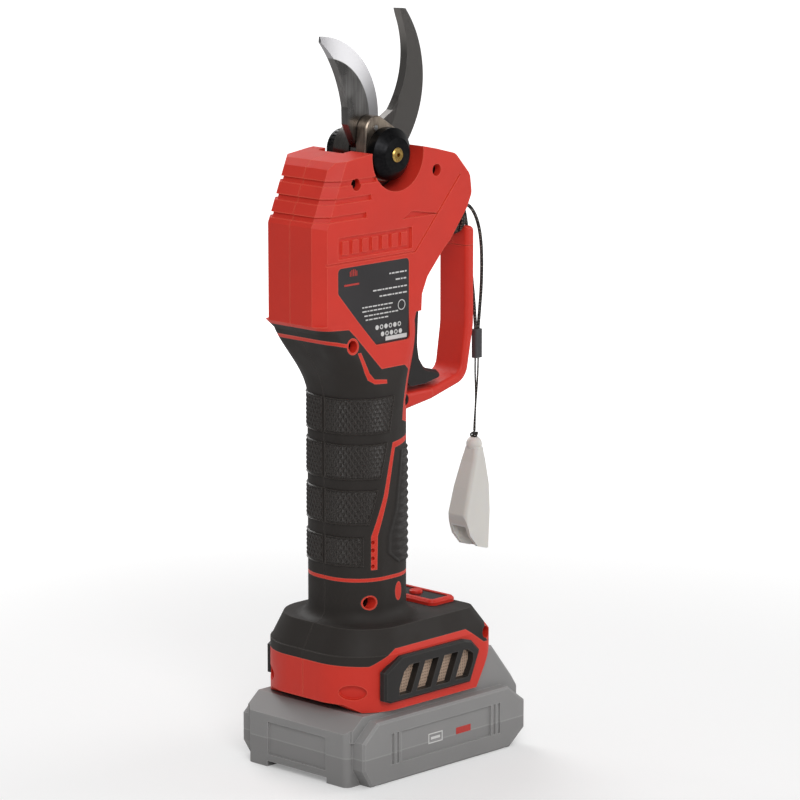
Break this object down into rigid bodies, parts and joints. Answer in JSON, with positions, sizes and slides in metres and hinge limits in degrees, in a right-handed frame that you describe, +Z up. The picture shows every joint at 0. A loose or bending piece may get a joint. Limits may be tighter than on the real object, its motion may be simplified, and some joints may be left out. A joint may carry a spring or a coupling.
{
  "type": "battery electric pruner",
  "caption": "Hand-held battery pruning shear: hooked fixed blade, curved moving blade on a screw drive, trigger in a guard loop, rubber grip, slide-on battery and a blade cover on a cord",
  "frame": {"origin": "on the handle's axis, in the plane of the battery's underside, which the tool stands on", "axes": "+X towards the trigger and its guard, +Y towards the far broad face, +Z up along the handle to the blades"},
  "size_m": [0.1189, 0.076, 0.3311],
  "materials": {
    "red_plastic": "fine spark texture, satin",
    "grip_rubber": "soft overmould, knurled on the grip",
    "vent_black": "satin moulded",
    "mesh_bronze": "woven wire",
    "label_film": "printed film",
    "screw_steel": "blackened",
    "display_black": "smooth",
    "blade_steel": "ground edge, polished side",
    "hook_steel": "dark polished",
    "guide_bronze": "bronze tinted",
    "pin_steel": "turned",
    "cap_black": "satin black",
    "nipple_brass": "turned",
    "nut_black": "knurled black",
    "spring_steel": "wire",
    "drive_steel": "machined",
    "inner_black": "moulded",
    "board_green": "coated board",
    "contact_copper": "stamped",
    "battery_grey": "moulded pale grey",
    "release_grey": "moulded grey",
    "cell_wrap": "shrink sleeve",
    "cord_braid": "braided",
    "slider_grey": "moulded rubber",
    "cover_milky": "translucent milky"
  },
  "bodies": {
    "tool_body": {"left_housing": "red_plastic", "right_housing": "red_plastic", "trigger_guard": "red_plastic", "left_grip": "grip_rubber", "right_grip": "grip_rubber", "left_base_cover": "grip_rubber", "right_base_cover": "grip_rubber", "left_vent_grille": "vent_black", "right_vent_grille": "vent_black", "left_vent_mesh": "mesh_bronze", "right_vent_mesh": "mesh_bronze", "rating_label": "label_film", "housing_screws": "screw_steel", "display_bezel": "red_plastic", "display_panel": "display_black", "fixed_blade": "hook_steel", "head_frame": "hook_steel", "frame_screws": "screw_steel", "guide_plate": "guide_bronze", "guide_pin": "pin_steel", "pivot_cap": "cap_black", "grease_nipple": "nipple_brass", "pivot_bolt": "pin_steel", "lock_washer": "pin_steel", "pivot_nut": "nut_black", "thrust_bearing": "drive_steel", "gearbox_case": "drive_steel", "motor_can": "drive_steel", "trigger_pin": "pin_steel", "trigger_spring": "spring_steel", "trigger_switch": "inner_black", "control_board": "board_green", "terminal_block": "inner_black", "terminal_blades": "contact_copper", "lanyard_wrap": "cord_braid"},
    "cutting_blade": {"moving_blade": "blade_steel"},
    "spindle_nut": {"drive_nut": "drive_steel", "drive_pin": "pin_steel"},
    "spindle": {"drive_screw": "drive_steel"},
    "trigger_lever": {"trigger": "inner_black"},
    "power_key": {"power_button": "red_plastic"},
    "battery_pack": {"battery_case": "battery_grey", "battery_top": "battery_grey", "battery_cells": "cell_wrap", "cell_straps": "contact_copper", "cell_holder": "inner_black", "battery_board": "board_green", "battery_contacts": "contact_copper", "battery_screws": "screw_steel"},
    "release_key": {"release_button": "release_grey"},
    "lanyard": {"strand_long": "cord_braid", "strand_short": "cord_braid", "cord_slider": "slider_grey", "string_left": "cord_braid", "string_right": "cord_braid", "string_knot": "slider_grey", "blade_cover": "cover_milky"}
  },
  "joints": [
    {"name": "blade_pivot", "type": "hinge", "parent": "tool_body", "child": "cutting_blade", "pos_m": [0.0074, -0.0022, 0.2707], "axis": [0, 1, 0], "range_deg": [0, 46]},
    {"name": "nut_slide", "type": "slide", "parent": "tool_body", "child": "spindle_nut", "axis": [0, 0, 1], "range_m": [0, 0.01801]},
    {"name": "screw_spin", "type": "hinge", "parent": "tool_body", "child": "spindle", "pos_m": [0, 0, 0.2], "axis": [0, 0, 1], "range_deg": [0, 1081]},
    {"name": "trigger_pull", "type": "hinge", "parent": "tool_body", "child": "trigger_lever", "pos_m": [0.024, 0, 0.2194], "axis": [0, 1, 0], "range_deg": [0, 8], "stiffness_Nm_per_rad": 0.4, "springref_deg": -8.59},
    {"name": "power_press", "type": "slide", "parent": "tool_body", "child": "power_key", "axis": [0, 0, -1], "range_m": [0, 0.0012], "stiffness_N_per_m": 600, "springref_m": -0.0008},
    {"name": "battery_slide", "type": "slide", "parent": "tool_body", "child": "battery_pack", "axis": [1, 0, 0], "range_m": [0, 0.075]},
    {"name": "release_press", "type": "slide", "parent": "battery_pack", "child": "release_key", "axis": [-1, 0, 0], "range_m": [0, 0.003], "stiffness_N_per_m": 600, "springref_m": -0.001},
    {"name": "lanyard_swing", "type": "hinge", "parent": "tool_body", "child": "lanyard", "pos_m": [0.0605, -0.0047, 0.2414], "axis": [1, 0, 0], "range_deg": [-20, 20]}
  ],
  "couplings": [
    {"joint": "nut_slide", "follows": "blade_pivot", "m_per_rad": 0.02242},
    {"joint": "screw_spin", "follows": "blade_pivot", "ratio": 23.478}
  ]
}
